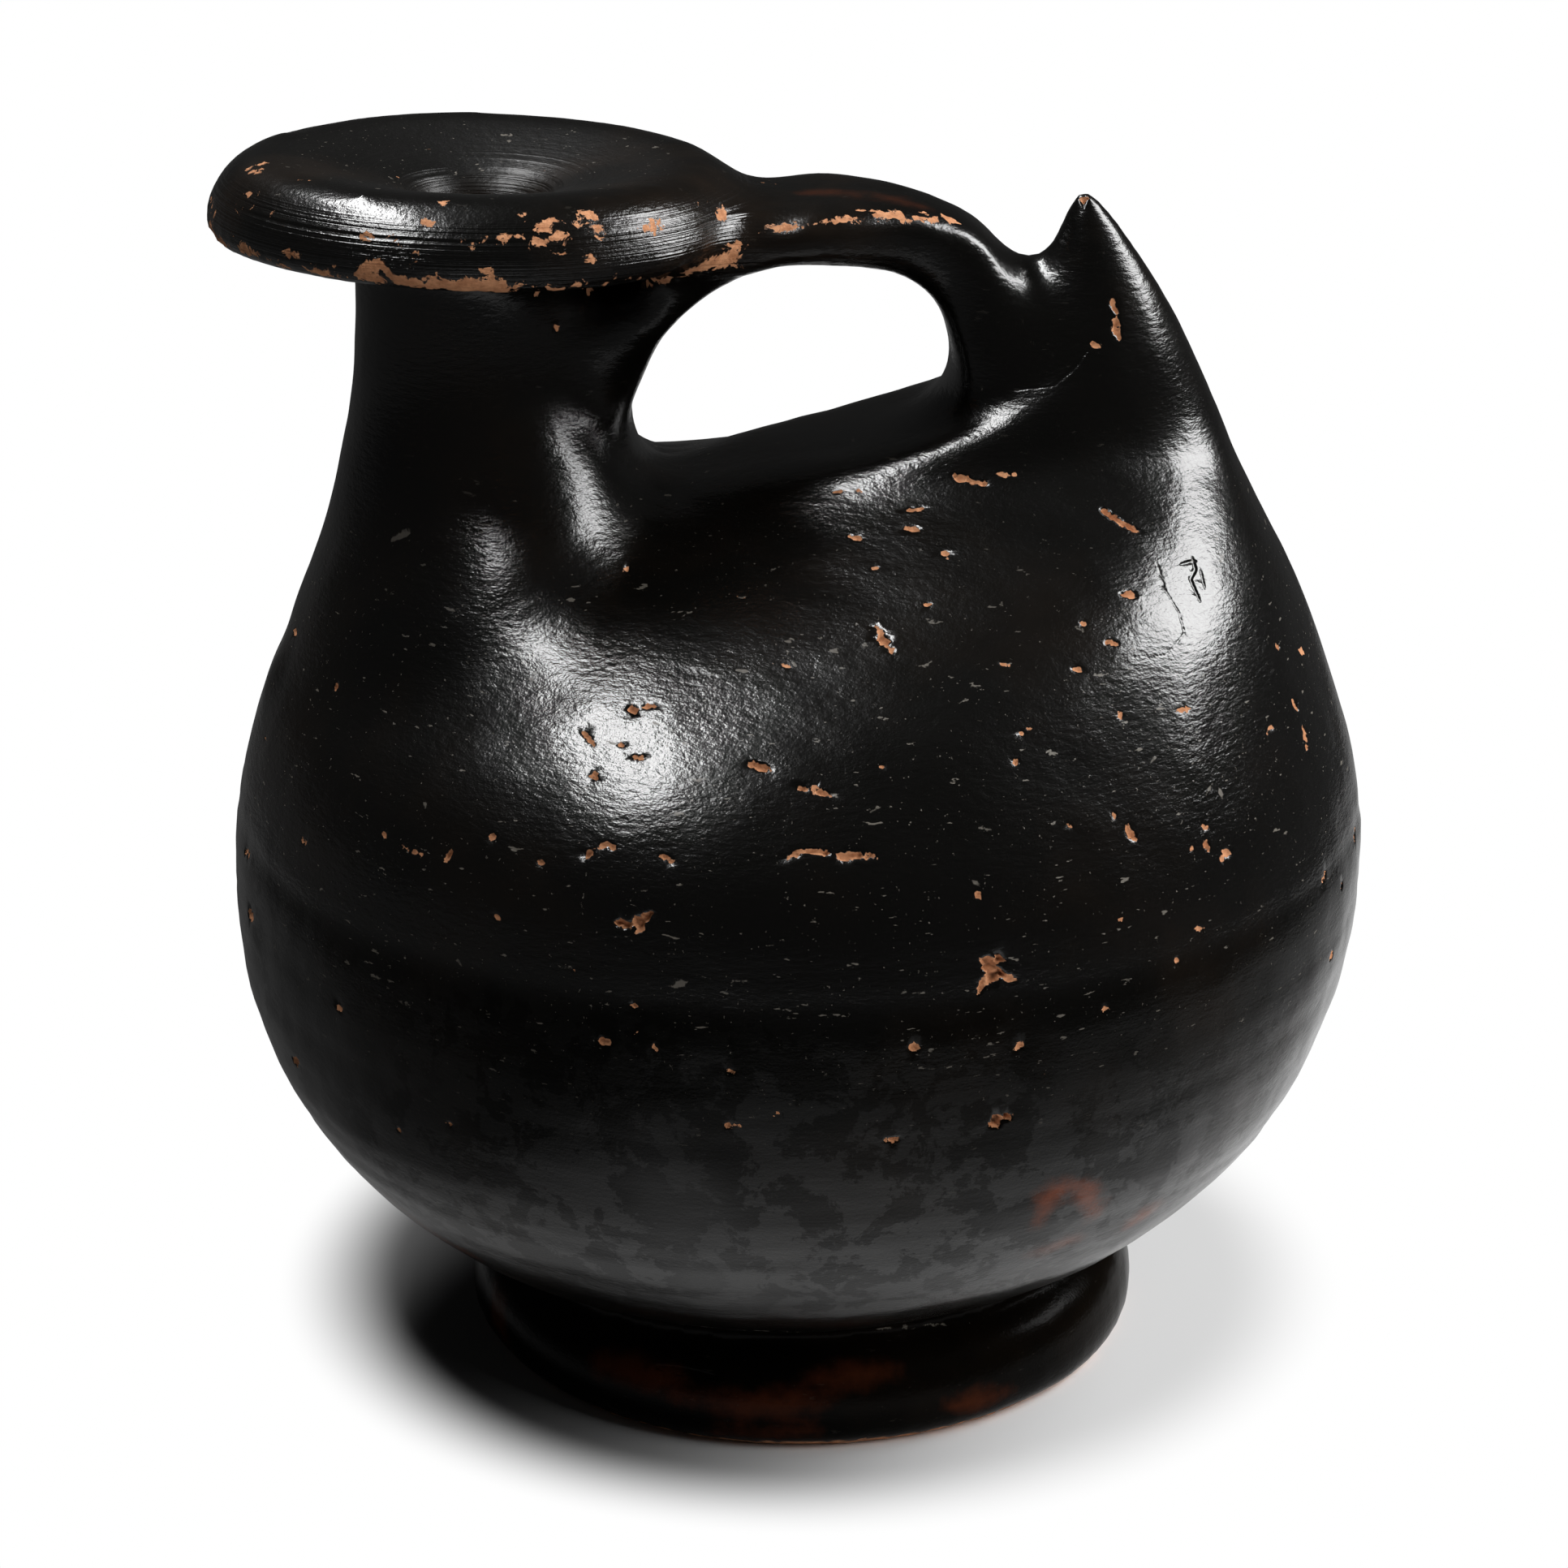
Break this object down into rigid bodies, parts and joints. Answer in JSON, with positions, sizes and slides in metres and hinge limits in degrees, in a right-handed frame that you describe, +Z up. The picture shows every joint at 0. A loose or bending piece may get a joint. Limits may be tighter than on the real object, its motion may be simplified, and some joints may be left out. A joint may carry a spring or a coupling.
{
  "type": "askos",
  "caption": "One-piece fired-clay pouring vessel: round hollow body drawn up to a pointed tail, spouted neck with a broad dished rim, strap handle between them and a turned ring foot",
  "frame": {"origin": "centre of the flat ring that the foot rests on", "axes": "+Z up, +X towards the tail, -X towards the neck and its rim, the plane y = 0 is the plane of symmetry"},
  "size_m": [0.1345, 0.134, 0.1464],
  "materials": {
    "glazed_clay": "black gloss slip over orange clay, worn through at the rim, handle and scattered chips"
  },
  "bodies": {
    "root": {"askos": "glazed_clay"}
  },
  "joints": []
}
